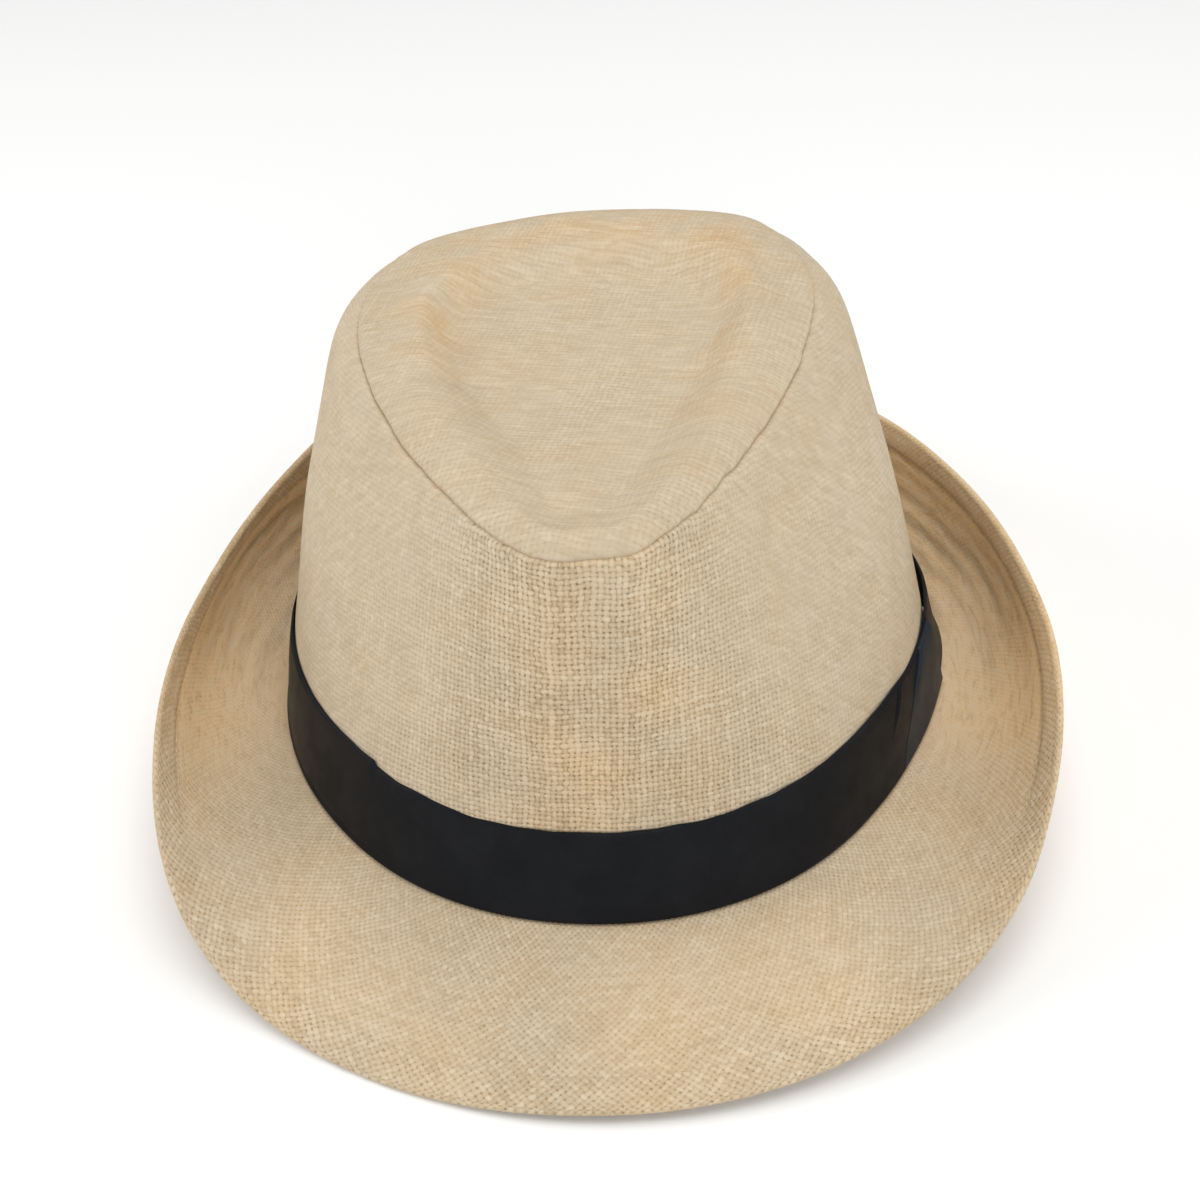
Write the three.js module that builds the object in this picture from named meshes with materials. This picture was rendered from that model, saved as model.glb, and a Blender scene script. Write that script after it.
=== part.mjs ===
import * as THREE from 'three';

// Driving sizes in millimetres and degrees; the front of the hat faces -Y and +Z is up
const AROUND = 80;
const HEAD_HALF_WIDTH = 85;
const HEAD_HALF_LENGTH = 101.5;
const HEAD_ROUNDNESS = 2.07;
const CROWN_CLOTH = 1.6;
const BRIM_CLOTH = 2;
const RIBBON = 1;
const GAP = 0.3;
const BAND_HEIGHT = 24.5;
const SEAM_FRONT_HEIGHT = 98.8;
const SEAM_BACK_HEIGHT = 106;
const SEAM_TWIST = 2.4;
const SEAM_LEAN = -3;
const SEAM_ROLL = 0.055;
const SPINE_FRONT = -62;
const SPINE_BACK = 22;
const BRIM_WIDTH = 47.2;
const BRIM_SEAT = 1.5;
const PITCH = 3.6;
const STAND = 8;
const SOLE = 0.2;

// Fuller parts of the crown's foot, by direction from the front toward +X
const FULLER = [
  { angle: 45, out: 0 },
  { angle: 60, out: 1.2 },
  { angle: 80, out: 3.9 },
  { angle: 100, out: 4.7 },
  { angle: 120, out: 3.2 },
  { angle: 145, out: 1 },
  { angle: 180, out: 0 },
  { angle: 215, out: 2.8 },
  { angle: 240, out: 3.9 },
  { angle: 260, out: 3.9 },
  { angle: 280, out: 2.6 },
  { angle: 300, out: 1.1 },
  { angle: 320, out: 0 },
];

// Tip seam outline, the right half from the nose to the back
const SEAM = [
  { x: 0, y: -97 },
  { x: 10.5, y: -95.8 },
  { x: 24, y: -81 },
  { x: 41, y: -50 },
  { x: 53.5, y: -16 },
  { x: 59.6, y: 19 },
  { x: 55, y: 46 },
  { x: 42, y: 65 },
  { x: 0, y: 75 },
];

// Side wall: how far it leans in at the band's top edge, then bows out half way up and under the seam
const SIDE = [
  { around: 0, bandIn: 5.2, middleOut: 0, shoulderOut: 0.5 },
  { around: 0.125, bandIn: 5.7, middleOut: 1, shoulderOut: 1.5 },
  { around: 0.25, bandIn: 3.5, middleOut: 4.8, shoulderOut: 3.2 },
  { around: 0.375, bandIn: 6.1, middleOut: 7.4, shoulderOut: 11.4 },
  { around: 0.5, bandIn: 2.5, middleOut: 9, shoulderOut: 12 },
];
const MIDDLE_UP = 0.45;
const SHOULDER_UP = 0.84;

// Tip panel: how far in from the seam the ridge's crest, the dent's lip, wall and floor lie
const TIP_IN = [
  { around: 0, crest: 5.5, lip: 8.5, wall: 12.5, floor: 17.5 },
  { around: 0.06, crest: 7, lip: 11.5, wall: 15.5, floor: 20.5 },
  { around: 0.2, crest: 9, lip: 16, wall: 20.5, floor: 26 },
  { around: 0.33, crest: 12.7, lip: 21, wall: 25.5, floor: 31 },
  { around: 0.4, crest: 10.5, lip: 29.5, wall: 34.5, floor: 40.5 },
  { around: 0.5, crest: 14.5, lip: 30, wall: 35, floor: 40.5 },
];

// Tip panel: how high over the seam they lie
const TIP_UP = [
  { around: 0, crest: 3.5, lip: 2.9, wall: 2.1, floor: 1.1 },
  { around: 0.06, crest: 4, lip: 3.4, wall: 2.2, floor: 0.7 },
  { around: 0.2, crest: 4.6, lip: 4.4, wall: 1.9, floor: -1.2 },
  { around: 0.33, crest: 3.1, lip: 5, wall: 2.3, floor: -0.8 },
  { around: 0.5, crest: 6.1, lip: 5.1, wall: 2.4, floor: -0.7 },
];

// Brim slope at its root and at its edge, by direction from the front toward +X
const BRIM = [
  { angle: -180, root: 16, edge: 81 },
  { angle: -150, root: 14, edge: 94 },
  { angle: -120, root: 9, edge: 132 },
  { angle: -90, root: 2, edge: 129 },
  { angle: -60, root: -5, edge: 80 },
  { angle: -30, root: -10, edge: -17 },
  { angle: 0, root: -12, edge: -22 },
  { angle: 30, root: -10, edge: -4 },
  { angle: 60, root: -5, edge: 65 },
  { angle: 90, root: 2, edge: 110 },
  { angle: 120, root: 9, edge: 115 },
  { angle: 150, root: 14, edge: 93 },
  { angle: 180, root: 16, edge: 81 },
];

// Lip of the curled brim: how far the outermost part turns back out
const LIP_TURN = 24;
const LIP_START = 0.78;
const CURL_FROM = 40;
const CURL_FULL = 84;

// Ribbon flare behind its join: it stands off the crown, most at its lower edge
const FLARE_AT = 0.28;
const FLARE_SPREAD = 0.045;
const FLARE_OUT = 5.6;
const FLARE_TOP = 0.2;
const FLARE_LIFT = 0.15;

// Ribbon fold at its join: its front and rear edge up the band, as shares around
const FOLD = [
  { up: 0, front: 0.17, rear: 0.24 },
  { up: 0.25, front: 0.175, rear: 0.2375 },
  { up: 0.5, front: 0.183, rear: 0.235 },
  { up: 0.77, front: 0.193, rear: 0.231 },
  { up: 1, front: 0.206, rear: 0.228 },
];
const FOLD_FULL = 0.8;
const FOLD_THIN = 0.25;

const RAD = Math.PI / 180;

// Smooth value of one table column at a place between rows
function column(rows, key, name, at) {
  let k = 0;
  while (k < rows.length - 2 && at > rows[k + 1][key]) {
    k += 1;
  }
  const span = rows[k + 1][key] - rows[k][key];
  const slope = (i) => {
    if (i === 0 || i === rows.length - 1) {
      return 0;
    }
    return (rows[i + 1][name] - rows[i - 1][name]) / (rows[i + 1][key] - rows[i - 1][key]);
  };
  const t = Math.min(1, Math.max(0, (at - rows[k][key]) / span));
  const a = rows[k][name] * (1 - t) * (1 - t) * (1 + 2 * t);
  const b = rows[k + 1][name] * t * t * (3 - 2 * t);
  const c = slope(k) * span * t * (1 - t) * (1 - t);
  const d = slope(k + 1) * span * t * t * (1 - t);
  return a + b + c - d;
}

// Curve through a few points, at a step between the second and third
function through(a, b, c, d, t) {
  const p = new THREE.Vector3();
  p.addScaledVector(a, 0.5 * (-t + 2 * t * t - t * t * t));
  p.addScaledVector(b, 0.5 * (2 - 5 * t * t + 3 * t * t * t));
  p.addScaledVector(c, 0.5 * (t + 4 * t * t - 3 * t * t * t));
  p.addScaledVector(d, 0.5 * (-t * t + t * t * t));
  return p;
}

// Closed outline that can be read at an even share of its length
function outline(points) {
  const run = [0];
  for (let i = 0; i < points.length; i += 1) {
    run.push(run[i] + points[i].distanceTo(points[(i + 1) % points.length]));
  }
  return (share) => {
    const want = (share - Math.floor(share)) * run[points.length];
    let low = 0;
    let high = points.length;
    while (high - low > 1) {
      const mid = (low + high) >> 1;
      if (run[mid] <= want) {
        low = mid;
      } else {
        high = mid;
      }
    }
    const t = (want - run[low]) / (run[low + 1] - run[low]);
    return points[low].clone().lerp(points[(low + 1) % points.length], t);
  };
}

function headPoints() {
  const points = [];
  for (let i = 0; i < 720; i += 1) {
    const s = Math.sin(i * 0.5 * RAD);
    const c = Math.cos(i * 0.5 * RAD);
    const wide = Math.pow(Math.abs(s) / HEAD_HALF_WIDTH, HEAD_ROUNDNESS);
    const long = Math.pow(Math.abs(c) / HEAD_HALF_LENGTH, HEAD_ROUNDNESS);
    const fuller = column(FULLER, 'angle', 'out', i * 0.5);
    const r = Math.pow(wide + long, -1 / HEAD_ROUNDNESS) + fuller;
    points.push(new THREE.Vector3(r * s, -r * c, 0));
  }
  return points;
}

function seamHeight(y) {
  const t = (y - SEAM[0].y) / (SEAM[SEAM.length - 1].y - SEAM[0].y);
  return SEAM_FRONT_HEIGHT + (SEAM_BACK_HEIGHT - SEAM_FRONT_HEIGHT) * t;
}

function seamPoints() {
  const right = SEAM.map((row) => new THREE.Vector3(row.x, row.y, seamHeight(row.y)));
  const left = right.slice(1, -1).reverse().map((p) => new THREE.Vector3(-p.x, p.y, p.z));
  const knots = right.concat(left);
  const count = knots.length;
  const turn = new THREE.Matrix4().makeRotationZ(SEAM_TWIST * RAD);
  const points = [];
  for (let k = 0; k < count; k += 1) {
    for (let j = 0; j < 24; j += 1) {
      const before = knots[(k + count - 1) % count];
      const p = through(before, knots[k], knots[(k + 1) % count], knots[(k + 2) % count], j / 24);
      p.applyMatrix4(turn);
      p.x += SEAM_LEAN;
      p.z += SEAM_ROLL * p.x;
      points.push(p);
    }
  }
  return points;
}

const headAt = outline(headPoints());
const seamAt = outline(seamPoints());

// Level direction pointing out of the head outline
function outward(share) {
  const along = headAt(share + 0.004).sub(headAt(share - 0.004));
  return new THREE.Vector3(along.y, -along.x, 0).normalize();
}

function half(share) {
  const s = share - Math.floor(share);
  return Math.min(s, 1 - s);
}

// Outer face of the side wall: step 0 at its foot, 1 at the band's top, 4 at the tip seam
function sidePoint(share, step) {
  const out = outward(share);
  const lean = (name) => column(SIDE, 'around', name, half(share));
  const foot = headAt(share);
  const top = seamAt(share);
  const band = foot.clone().addScaledVector(out, -lean('bandIn')).setZ(BAND_HEIGHT);
  const middle = band.clone().lerp(top, MIDDLE_UP).addScaledVector(out, lean('middleOut'));
  const shoulder = band.clone().lerp(top, SHOULDER_UP).addScaledVector(out, lean('shoulderOut'));
  const below = foot.clone().multiplyScalar(2).sub(band);
  const above = top.clone().multiplyScalar(2).sub(shoulder);
  const knots = [below, foot, band, middle, shoulder, top, above];
  const k = Math.min(3, Math.floor(step));
  return through(knots[k], knots[k + 1], knots[k + 2], knots[k + 3], step - k);
}

function sideNormal(share, step) {
  const along = sidePoint(share + 0.004, step).sub(sidePoint(share - 0.004, step));
  const up = sidePoint(share, Math.min(4, step + 0.05)).sub(sidePoint(share, Math.max(0, step - 0.05)));
  return along.cross(up).normalize();
}

// Outer face of the tip panel, a set distance in from the seam
function tipPoint(share, inset) {
  const rim = seamAt(share);
  const front = seamAt(0).y;
  const back = seamAt(0.5).y;
  const t = (rim.y - front) / (back - front);
  const spine = new THREE.Vector3(SEAM_LEAN, SPINE_FRONT + (SPINE_BACK - SPINE_FRONT) * t, rim.z);
  const way = spine.sub(rim);
  const reach = way.length();
  const at = half(share);
  const knots = [{ x: -6, z: -8 }, { x: 0, z: 0 }];
  for (const name of ['crest', 'lip', 'wall', 'floor']) {
    knots.push({ x: column(TIP_IN, 'around', name, at), z: column(TIP_UP, 'around', name, at) });
  }
  knots.push({ x: reach * 2, z: knots[knots.length - 1].z });
  const p = rim.clone().addScaledVector(way, inset / reach);
  p.z = seamHeight(p.y) + SEAM_ROLL * p.x + column(knots, 'x', 'z', inset);
  return p;
}

// Soft step from 0 to 1 between two places
function softStep(at, low, high) {
  const t = Math.min(1, Math.max(0, (at - low) / (high - low)));
  return t * t * (3 - 2 * t);
}

// Middle of the brim's cloth, a share of its width out from the crown, with its slope there
function brimPoint(share, part) {
  const foot = headAt(share);
  const angle = Math.atan2(foot.x, -foot.y) / RAD;
  const root = column(BRIM, 'angle', 'root', angle);
  const edge = column(BRIM, 'angle', 'edge', angle);
  const lip = LIP_TURN * softStep(Math.abs(angle), CURL_FROM, CURL_FULL);
  const slopeAt = (at) => (root + (edge - root) * at - lip * softStep(at, LIP_START, 1)) * RAD;
  const steps = 24;
  let out = BRIM_SEAT;
  let up = -GAP - BRIM_CLOTH / 2;
  for (let k = 0; k < steps; k += 1) {
    const slope = slopeAt(part * (k + 0.5) / steps);
    out += (BRIM_WIDTH - BRIM_SEAT) * part * Math.cos(slope) / steps;
    up += (BRIM_WIDTH - BRIM_SEAT) * part * Math.sin(slope) / steps;
  }
  const dir = outward(share);
  const slope = part > 0 ? slopeAt(part) : 0;
  const normal = dir.clone().multiplyScalar(-Math.sin(slope));
  normal.z = Math.cos(slope);
  return { point: foot.addScaledVector(dir, out).setZ(up), normal };
}

// Hat's own frame to the resting frame, front raised by the pitch
function rest(p) {
  const c = Math.cos(PITCH * RAD);
  const s = Math.sin(PITCH * RAD);
  return new THREE.Vector3(p.x, p.y * c + p.z * s, p.z * c - p.y * s + STAND);
}

function ring(pointAt) {
  const points = [];
  for (let i = 0; i < AROUND; i += 1) {
    points.push(rest(pointAt(i / AROUND)));
  }
  return points;
}

// Closed body from quads over rows of points
function body(name, rows, quads, look) {
  const index = [];
  for (const [a, b, c, d] of quads) {
    for (const [p, q, r] of [[a, b, c], [a, c, d]]) {
      if (p !== q && q !== r && r !== p) {
        index.push(p, q, r);
      }
    }
  }
  const flat = rows.flat();
  let volume = 0;
  for (let i = 0; i < index.length; i += 3) {
    const across = flat[index[i + 1]].clone().cross(flat[index[i + 2]]);
    volume += flat[index[i]].dot(across);
  }
  if (volume < 0) {
    index.reverse();
  }
  const geometry = new THREE.BufferGeometry();
  const places = flat.flatMap((p) => [p.x, p.y, p.z]);
  geometry.setAttribute('position', new THREE.Float32BufferAttribute(places, 3));
  geometry.setIndex(index);
  geometry.computeVertexNormals();
  const mesh = new THREE.Mesh(geometry, new THREE.MeshStandardMaterial(look));
  mesh.name = name;
  return mesh;
}

// Quads between neighbouring rings, the last one joined to the first when it is a loop
function ringQuads(count, loop) {
  const quads = [];
  for (let j = 0; j < (loop ? count : count - 1); j += 1) {
    for (let i = 0; i < AROUND; i += 1) {
      const n = (i + 1) % AROUND;
      const up = (j + 1) % count;
      quads.push([j * AROUND + i, j * AROUND + n, up * AROUND + n, up * AROUND + i]);
    }
  }
  return quads;
}

// Quads across one ring, from its right half to its left half
function acrossQuads(row, turned) {
  const quads = [];
  const at = (i) => row * AROUND + (i % AROUND);
  for (let i = 0; i < AROUND / 2; i += 1) {
    const quad = [at(AROUND - i), at(i), at(i + 1), at(AROUND - i - 1)];
    quads.push(turned ? quad.reverse() : quad);
  }
  return quads;
}

const cloth = { color: 0xcdb48c, roughness: 0.85, metalness: 0 };
const ribbon = { color: 0x242426, roughness: 0.5, metalness: 0 };

// Shared seam: level along the cloth and normal to it, so both panels end in facing edges
function seamFrame(share) {
  const along = seamAt(share + 0.004).sub(seamAt(share - 0.004));
  const up = tipPoint(share, 1.5).sub(sidePoint(share, 3.9)).normalize();
  return { up, normal: along.cross(up).normalize() };
}

function crownSide() {
  const steps = [0, 0.5, 1, 1.4, 1.8, 2.2, 2.6, 3, 3.4, 3.75];
  const outer = steps.map((step) => ring((s) => sidePoint(s, step)));
  const inner = steps.map((step) => ring((s) => {
    const n = sideNormal(s, step);
    if (step === 0) {
      n.setZ(0).normalize();
    }
    return sidePoint(s, step).addScaledVector(n, -CROWN_CLOTH);
  }));
  const edge = (depth) => ring((s) => {
    const f = seamFrame(s);
    return seamAt(s).addScaledVector(f.up, -GAP / 2).addScaledVector(f.normal, -depth);
  });
  const rows = outer.concat([edge(0), edge(CROWN_CLOTH)], inner.reverse());
  return body('crown_side', rows, ringQuads(rows.length, true), cloth);
}

function tipNormal(share, inset) {
  const along = tipPoint(share + 0.004, inset).sub(tipPoint(share - 0.004, inset));
  const way = tipPoint(share, inset + 1).sub(tipPoint(share, inset - 1));
  return along.cross(way).normalize();
}

function crownTip() {
  const parts = [
    { name: 'crest', share: 0.45 },
    { name: 'crest', share: 1 },
    { name: 'lip', share: 1 },
    { name: 'wall', share: 0.9 },
    { name: 'wall', share: 1.08 },
    { name: 'floor', share: 1 },
  ];
  const insets = parts.map((p) => (s) => p.share * column(TIP_IN, 'around', p.name, half(s)));
  const outer = insets.map((at) => ring((s) => tipPoint(s, at(s))));
  const inner = insets.map((at) => ring((s) => {
    return tipPoint(s, at(s)).addScaledVector(tipNormal(s, at(s)), -CROWN_CLOTH);
  }));
  const edge = (depth) => ring((s) => {
    const f = seamFrame(s);
    return seamAt(s).addScaledVector(f.up, GAP / 2).addScaledVector(f.normal, -depth);
  });
  const rows = outer.reverse().concat([edge(0), edge(CROWN_CLOTH)], inner);
  const quads = ringQuads(rows.length, false);
  quads.push(...acrossQuads(0, true), ...acrossQuads(rows.length - 1, false));
  return body('crown_tip', rows, quads, cloth);
}

function brimBody() {
  const parts = [0, 0.1, 0.22, 0.35, 0.48, 0.61, 0.74, 0.87, 1];
  const face = (part, side) => ring((s) => {
    const b = brimPoint(s, part);
    return b.point.addScaledVector(b.normal, side * BRIM_CLOTH / 2);
  });
  const inside = (side) => ring((s) => {
    const p = headAt(s).addScaledVector(outward(s), -CROWN_CLOTH);
    p.z = -GAP - BRIM_CLOTH / 2 + side * BRIM_CLOTH / 2;
    return p;
  });
  const top = [inside(1)].concat(parts.map((part) => face(part, 1)));
  const under = [inside(-1)].concat(parts.map((part) => face(part, -1)));
  for (const row of under) {
    for (const p of row) {
      if (p.z < SOLE) {
        p.z = 0;
      }
    }
  }
  const rows = top.concat(under.reverse());
  return body('brim', rows, ringQuads(rows.length, true), cloth);
}

// Ribbon point a set depth over the crown, flared out and up behind the join
function ribbonPoint(share, up, depth) {
  const away = (share - FLARE_AT) / FLARE_SPREAD;
  const flare = FLARE_OUT * Math.exp(-away * away) * (1 - (1 - FLARE_TOP) * up);
  const p = sidePoint(share, up).addScaledVector(sideNormal(share, up), GAP + flare + depth);
  p.z += FLARE_LIFT * flare;
  return p;
}

function hatBand() {
  const face = (up, depth) => ring((s) => ribbonPoint(s, up, depth));
  const ups = [0, 0.33, 0.66, 1];
  const outer = ups.map((up) => face(up, RIBBON));
  const inner = ups.map((up) => face(up, 0));
  const rows = outer.concat(inner.reverse());
  return body('hat_band', rows, ringQuads(rows.length, true), ribbon);
}

function bandTuck() {
  const across = 12;
  const ups = [0, 0.25, 0.5, 0.77, 1];
  const face = (up, fold) => {
    const row = [];
    const front = column(FOLD, 'up', 'front', up);
    const rear = column(FOLD, 'up', 'rear', up);
    for (let i = 0; i <= across; i += 1) {
      const along = i / across;
      const thin = FOLD_THIN + (FOLD_FULL - FOLD_THIN) * Math.min(1, up + along);
      const out = fold ? thin : 0;
      row.push(rest(ribbonPoint(front + (rear - front) * along, up, RIBBON + GAP + out)));
    }
    return row;
  };
  const rows = ups.map((up) => face(up, true).concat(face(up, false).reverse()));
  const width = rows[0].length;
  const quads = [];
  for (let j = 0; j < rows.length - 1; j += 1) {
    for (let i = 0; i < width; i += 1) {
      const n = (i + 1) % width;
      quads.push([j * width + i, j * width + n, (j + 1) * width + n, (j + 1) * width + i]);
    }
  }
  for (let i = 0; i < across; i += 1) {
    const last = (rows.length - 1) * width;
    quads.push([i + 1, i, width - 1 - i, width - 2 - i]);
    quads.push([last + i, last + i + 1, last + width - 2 - i, last + width - 1 - i]);
  }
  return body('band_tuck', rows, quads, ribbon);
}

const group = new THREE.Group();
group.name = 'fedora_hat';
group.add(crownTip(), crownSide(), brimBody(), hatBand(), bandTuck());

// Origin under the middle of the whole hat
const box = new THREE.Box3().setFromObject(group);
for (const mesh of group.children) {
  mesh.geometry.translate(-(box.min.x + box.max.x) / 2, -(box.min.y + box.max.y) / 2, 0);
}

export default group;
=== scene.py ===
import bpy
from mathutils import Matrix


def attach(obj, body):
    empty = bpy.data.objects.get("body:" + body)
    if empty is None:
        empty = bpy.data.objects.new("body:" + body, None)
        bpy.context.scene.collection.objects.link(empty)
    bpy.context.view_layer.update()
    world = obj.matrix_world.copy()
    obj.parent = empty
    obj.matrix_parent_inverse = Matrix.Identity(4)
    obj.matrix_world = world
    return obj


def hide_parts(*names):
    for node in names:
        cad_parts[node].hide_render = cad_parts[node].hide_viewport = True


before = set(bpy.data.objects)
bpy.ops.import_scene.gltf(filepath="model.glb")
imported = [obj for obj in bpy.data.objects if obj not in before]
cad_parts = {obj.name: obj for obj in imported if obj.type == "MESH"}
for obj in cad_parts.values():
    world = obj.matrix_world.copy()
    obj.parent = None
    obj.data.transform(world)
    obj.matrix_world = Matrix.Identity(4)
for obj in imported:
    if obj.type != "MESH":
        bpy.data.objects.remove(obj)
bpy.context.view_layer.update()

import math

import bpy
import numpy as np
from mathutils import Matrix, Vector

# Sizes in millimetres and degrees, the same as the solids
MM = 0.001
HEAD_HALF_WIDTH = 85
HEAD_HALF_LENGTH = 101.5
HEAD_ROUNDNESS = 2.07
CROWN_CLOTH = 1.6
BRIM_CLOTH = 2
RIBBON = 1
GAP = 0.3
BAND_HEIGHT = 24.5
SEAM_FRONT_HEIGHT = 98.8
SEAM_BACK_HEIGHT = 106
SEAM_TWIST = 2.4
SEAM_LEAN = -3
SEAM_ROLL = 0.055
SPINE_FRONT = -62
SPINE_BACK = 22
BRIM_WIDTH = 47.2
BRIM_SEAT = 1.5
PITCH = 3.6
STAND = 8

# Fuller and flatter parts of the crown's foot, by direction from the front toward +X
FULLER_ANGLE = [45, 60, 80, 100, 120, 145, 180, 215, 240, 260, 280, 300, 320]
FULLER_OUT = [0, 1.2, 3.9, 4.7, 3.2, 1, 0, 2.8, 3.9, 3.9, 2.6, 1.1, 0]

# Tip seam outline, the right half from the nose to the back
SEAM_X = [0, 10.5, 24, 41, 53.5, 59.6, 55, 42, 0]
SEAM_Y = [-97, -95.8, -81, -50, -16, 19, 46, 65, 75]

# Side wall: lean at the band's top edge, bow half way up and under the seam
SIDE_AROUND = [0, 0.125, 0.25, 0.375, 0.5]
SIDE_BAND_IN = [5.2, 5.7, 3.5, 6.1, 2.5]
SIDE_MIDDLE_OUT = [0, 1, 4.8, 7.4, 9]
SIDE_SHOULDER_OUT = [0.5, 1.5, 3.2, 11.4, 12]
MIDDLE_UP = 0.45
SHOULDER_UP = 0.84

# Tip panel: ridge crest, dent lip, wall and floor, in from the seam and over it
TIP_IN_AROUND = [0, 0.06, 0.2, 0.33, 0.4, 0.5]
TIP_IN = {
    "crest": [5.5, 7, 9, 12.7, 10.5, 14.5],
    "lip": [8.5, 11.5, 16, 21, 29.5, 30],
    "wall": [12.5, 15.5, 20.5, 25.5, 34.5, 35],
    "floor": [17.5, 20.5, 26, 31, 40.5, 40.5],
}
TIP_UP_AROUND = [0, 0.06, 0.2, 0.33, 0.5]
TIP_UP = {
    "crest": [3.5, 4, 4.6, 3.1, 6.1],
    "lip": [2.9, 3.4, 4.4, 5, 5.1],
    "wall": [2.1, 2.2, 1.9, 2.3, 2.4],
    "floor": [1.1, 0.7, -1.2, -0.8, -0.7],
}

# Brim slope at its root and at its edge, by direction from the front toward +X
BRIM_ANGLE = [-180, -150, -120, -90, -60, -30, 0, 30, 60, 90, 120, 150, 180]
BRIM_ROOT = [16, 14, 9, 2, -5, -10, -12, -10, -5, 2, 9, 14, 16]
BRIM_EDGE = [81, 94, 132, 129, 80, -17, -22, -4, 65, 110, 115, 93, 81]

# Lip of the curled brim: how far the outermost part turns back out
LIP_TURN = 24
LIP_START = 0.78

# Ribbon flare behind its join and the fold there, as shares around from the front toward +X
FLARE_AT = 0.28
FLARE_SPREAD = 0.045
FLARE_OUT = 5.6
FLARE_TOP = 0.2
FLARE_LIFT = 0.15
FOLD_UP = [0, 0.25, 0.5, 0.77, 1]
FOLD_FRONT = [0.17, 0.175, 0.183, 0.193, 0.206]
FOLD_REAR = [0.24, 0.2375, 0.235, 0.231, 0.228]
PLEAT_TOP = 0.177
PLEAT_LEAN = 0.04
PLEAT_RISE = 0.5

# Top edge of the ribbon: places where it stands higher or lower, and a notch on the wearer's right
BAND_HIGH_AT = 0.265
BAND_HIGH = 1.3
BAND_LOW_AT = 0.02
BAND_LOW = 0.8
NOTCH_AT = -0.107
NOTCH_RISE = 1.2

# Creases along the ribbon's lower and upper edges
RIBBON_HEM_RIDGE = 0.12
RIBBON_HEM_CREASE = 0.2
RIBBON_TOP_CREASE = 0.12

# Slight unevenness of the sewn cloth
CROWN_UNEVEN = 0.35
BRIM_UNEVEN = 0.4
RIBBON_UNEVEN = 0.2

# Sewing: turned-in seam, join at the centre back, stitched brim hem and soft rows in the curled brim
SEAM_GROOVE = 1.45
SEAM_GROOVE_HALF = 0.5
SEAM_RIDGE = 0.22
SEAM_PUCKER_BROAD = 0.24
SEAM_PUCKER_FINE = 0.16
BACK_JOIN = 0.5
HEM_WIDTH = 8
HEM_STEP = 0.45
HEM_VALLEY = 0.55
EDGE_THINNER = 0.35
ROW_SPACING = 6
ROW_COUNT = 5
ROW_VALLEY = 0.62
STITCH_PITCH = 3.2
STITCH_LENGTH = 2
THREAD_RADIUS = 0.16

# Yarn spacing in the cloth
CROWN_YARN = 1.4
BRIM_YARN = 1.27
RIBBON_YARN = 0.45

# How open the weave is, 0 to 1: fully in a window at the crown's front that widens toward the band
WEAVE_SIDE = 0.12
WEAVE_TIP = 0.16
WEAVE_BRIM = 0.46
WEAVE_CURLED = 0.11
WEAVE_HEM = 0.2
WEAVE_UNEVEN = 0.12
FRONT_WINDOW = 0.075
FRONT_WINDOW_LOWER = 0.07

# Browner places of the cloth, the curled brim's brown also painted light, and places of painted shade, 0 to
# 1
FRONT_BROWN = 0.45
RIDGE_BROWN = 0.25
BRIM_BROWN = 0.12
# On the curled brim the brown is lighter than the cloth: painted light where the crown shades it
CURL_BROWN_AND_PAINTED_LIGHT = 0.35
# Painted shade: the lit tip, the pressed rows, the curled hem lip (more on the -X side) and the flat front
# brim are darkened
TIP_PAINTED_SHADE = 0.1
ROW_PAINTED_SHADE = 0.62
LIP_PAINTED_SHADE = 0.45
LIP_PAINTED_SHADE_SIDE = 0.3
FRONT_PAINTED_SHADE = 0.17

# Turn of the tip, of the yarns' lay on the flanks and of the brim's bias strip, in degrees
TIP_GRAIN = 12
FLANK_LAY = -42
BRIM_BIAS = 45

# Columns of points around the hat, and the side strip's length at its foot, at the seam and up its slant
AROUND = 480
FOOT_RUN = 600
SEAM_RUN = 467
SIDE_SLANT = 107


def smooth_through(xs, ys, at):
    """Smooth curve through the knots, level at both ends; knots may differ for each place."""
    at = np.asarray(at, float)
    last = len(xs) - 1
    xs = [np.asarray(x, float) for x in xs]
    ys = [np.asarray(y, float) for y in ys]
    slopes = [np.zeros_like(at)]
    for k in range(1, last):
        slopes.append((ys[k + 1] - ys[k - 1]) / (xs[k + 1] - xs[k - 1]))
    slopes.append(np.zeros_like(at))
    value = np.zeros_like(at)
    for k in range(last):
        span = xs[k + 1] - xs[k]
        t = np.clip((at - xs[k]) / span, 0, 1)
        part = ys[k] * (1 - t) ** 2 * (1 + 2 * t) + ys[k + 1] * t ** 2 * (3 - 2 * t)
        part += slopes[k] * span * t * (1 - t) ** 2 - slopes[k + 1] * span * t ** 2 * (1 - t)
        value = np.where((at > xs[k]) | (k == 0), part, value)
    return value


def through(a, b, c, d, t):
    """Curve through four points, at a share of the way from the second to the third."""
    value = a * (-t + 2 * t ** 2 - t ** 3)
    value = value + b * (2 - 5 * t ** 2 + 3 * t ** 3)
    value = value + c * (t + 4 * t ** 2 - 3 * t ** 3)
    return 0.5 * (value + d * (-t ** 2 + t ** 3))


def unit(vectors):
    return vectors / np.maximum(np.linalg.norm(vectors, axis=-1, keepdims=True), 1e-9)


def turned(flat, degrees):
    """Flat places turned by an angle."""
    c = math.cos(math.radians(degrees))
    s = math.sin(math.radians(degrees))
    return np.stack([flat[..., 0] * c - flat[..., 1] * s, flat[..., 0] * s + flat[..., 1] * c], -1)


def bump(x, middle, reach):
    """Rounded hump, 1 at its middle."""
    return np.exp(-((x - middle) / reach) ** 2)


def step(x, at, reach):
    """Soft step from 0 to 1."""
    t = np.clip((x - at) / reach + 0.5, 0, 1)
    return t * t * (3 - 2 * t)


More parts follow.
